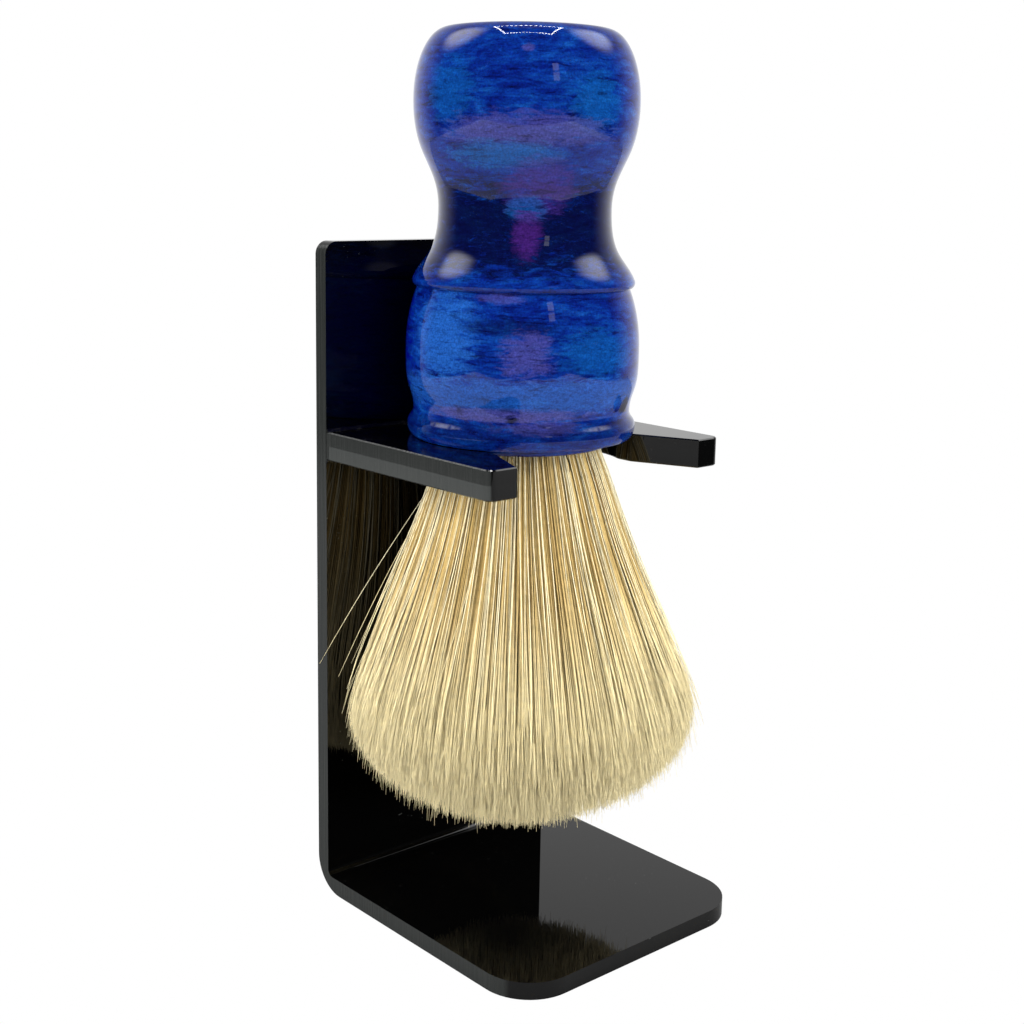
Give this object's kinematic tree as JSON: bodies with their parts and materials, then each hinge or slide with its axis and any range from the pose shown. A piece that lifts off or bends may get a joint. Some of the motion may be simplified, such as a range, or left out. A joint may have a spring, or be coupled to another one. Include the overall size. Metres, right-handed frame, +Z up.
{
  "type": "barber brush with drip stand",
  "caption": "Barber brush with a turned swirled-resin handle and a fanned bristle knot, hanging bristles-down in a forked, bent-sheet acrylic drip stand.",
  "frame": {"origin": "centre of the footprint, on the underside of the stand's base", "axes": "+Z up; the fork opens and the brush comes out toward -Y; the back panel is on +Y"},
  "size_m": [0.0626, 0.057, 0.1542],
  "materials": {
    "black_acrylic": "polished faces, laser-cut edges",
    "acrylic_cement": "clear gloss over black",
    "swirled_resin": "polished pearlescent blue and violet swirl",
    "epoxy": "cured adhesive",
    "potting_resin": "cured amber resin",
    "thread": "waxed cotton",
    "boar_bristle": "natural bleached bristle with flagged pale tips"
  },
  "bodies": {
    "stand": {"bent_panel": "black_acrylic", "fork": "black_acrylic", "fork_cement": "acrylic_cement"},
    "brush": {"handle": "swirled_resin", "socket_adhesive": "epoxy", "knot_plug": "potting_resin", "binding_thread": "thread", "bristle_bundle": "boar_bristle"}
  },
  "joints": [
    {"name": "brush_slide", "type": "slide", "parent": "stand", "child": "brush", "axis": [0, -1, 0], "range_m": [0, 0.09]}
  ]
}
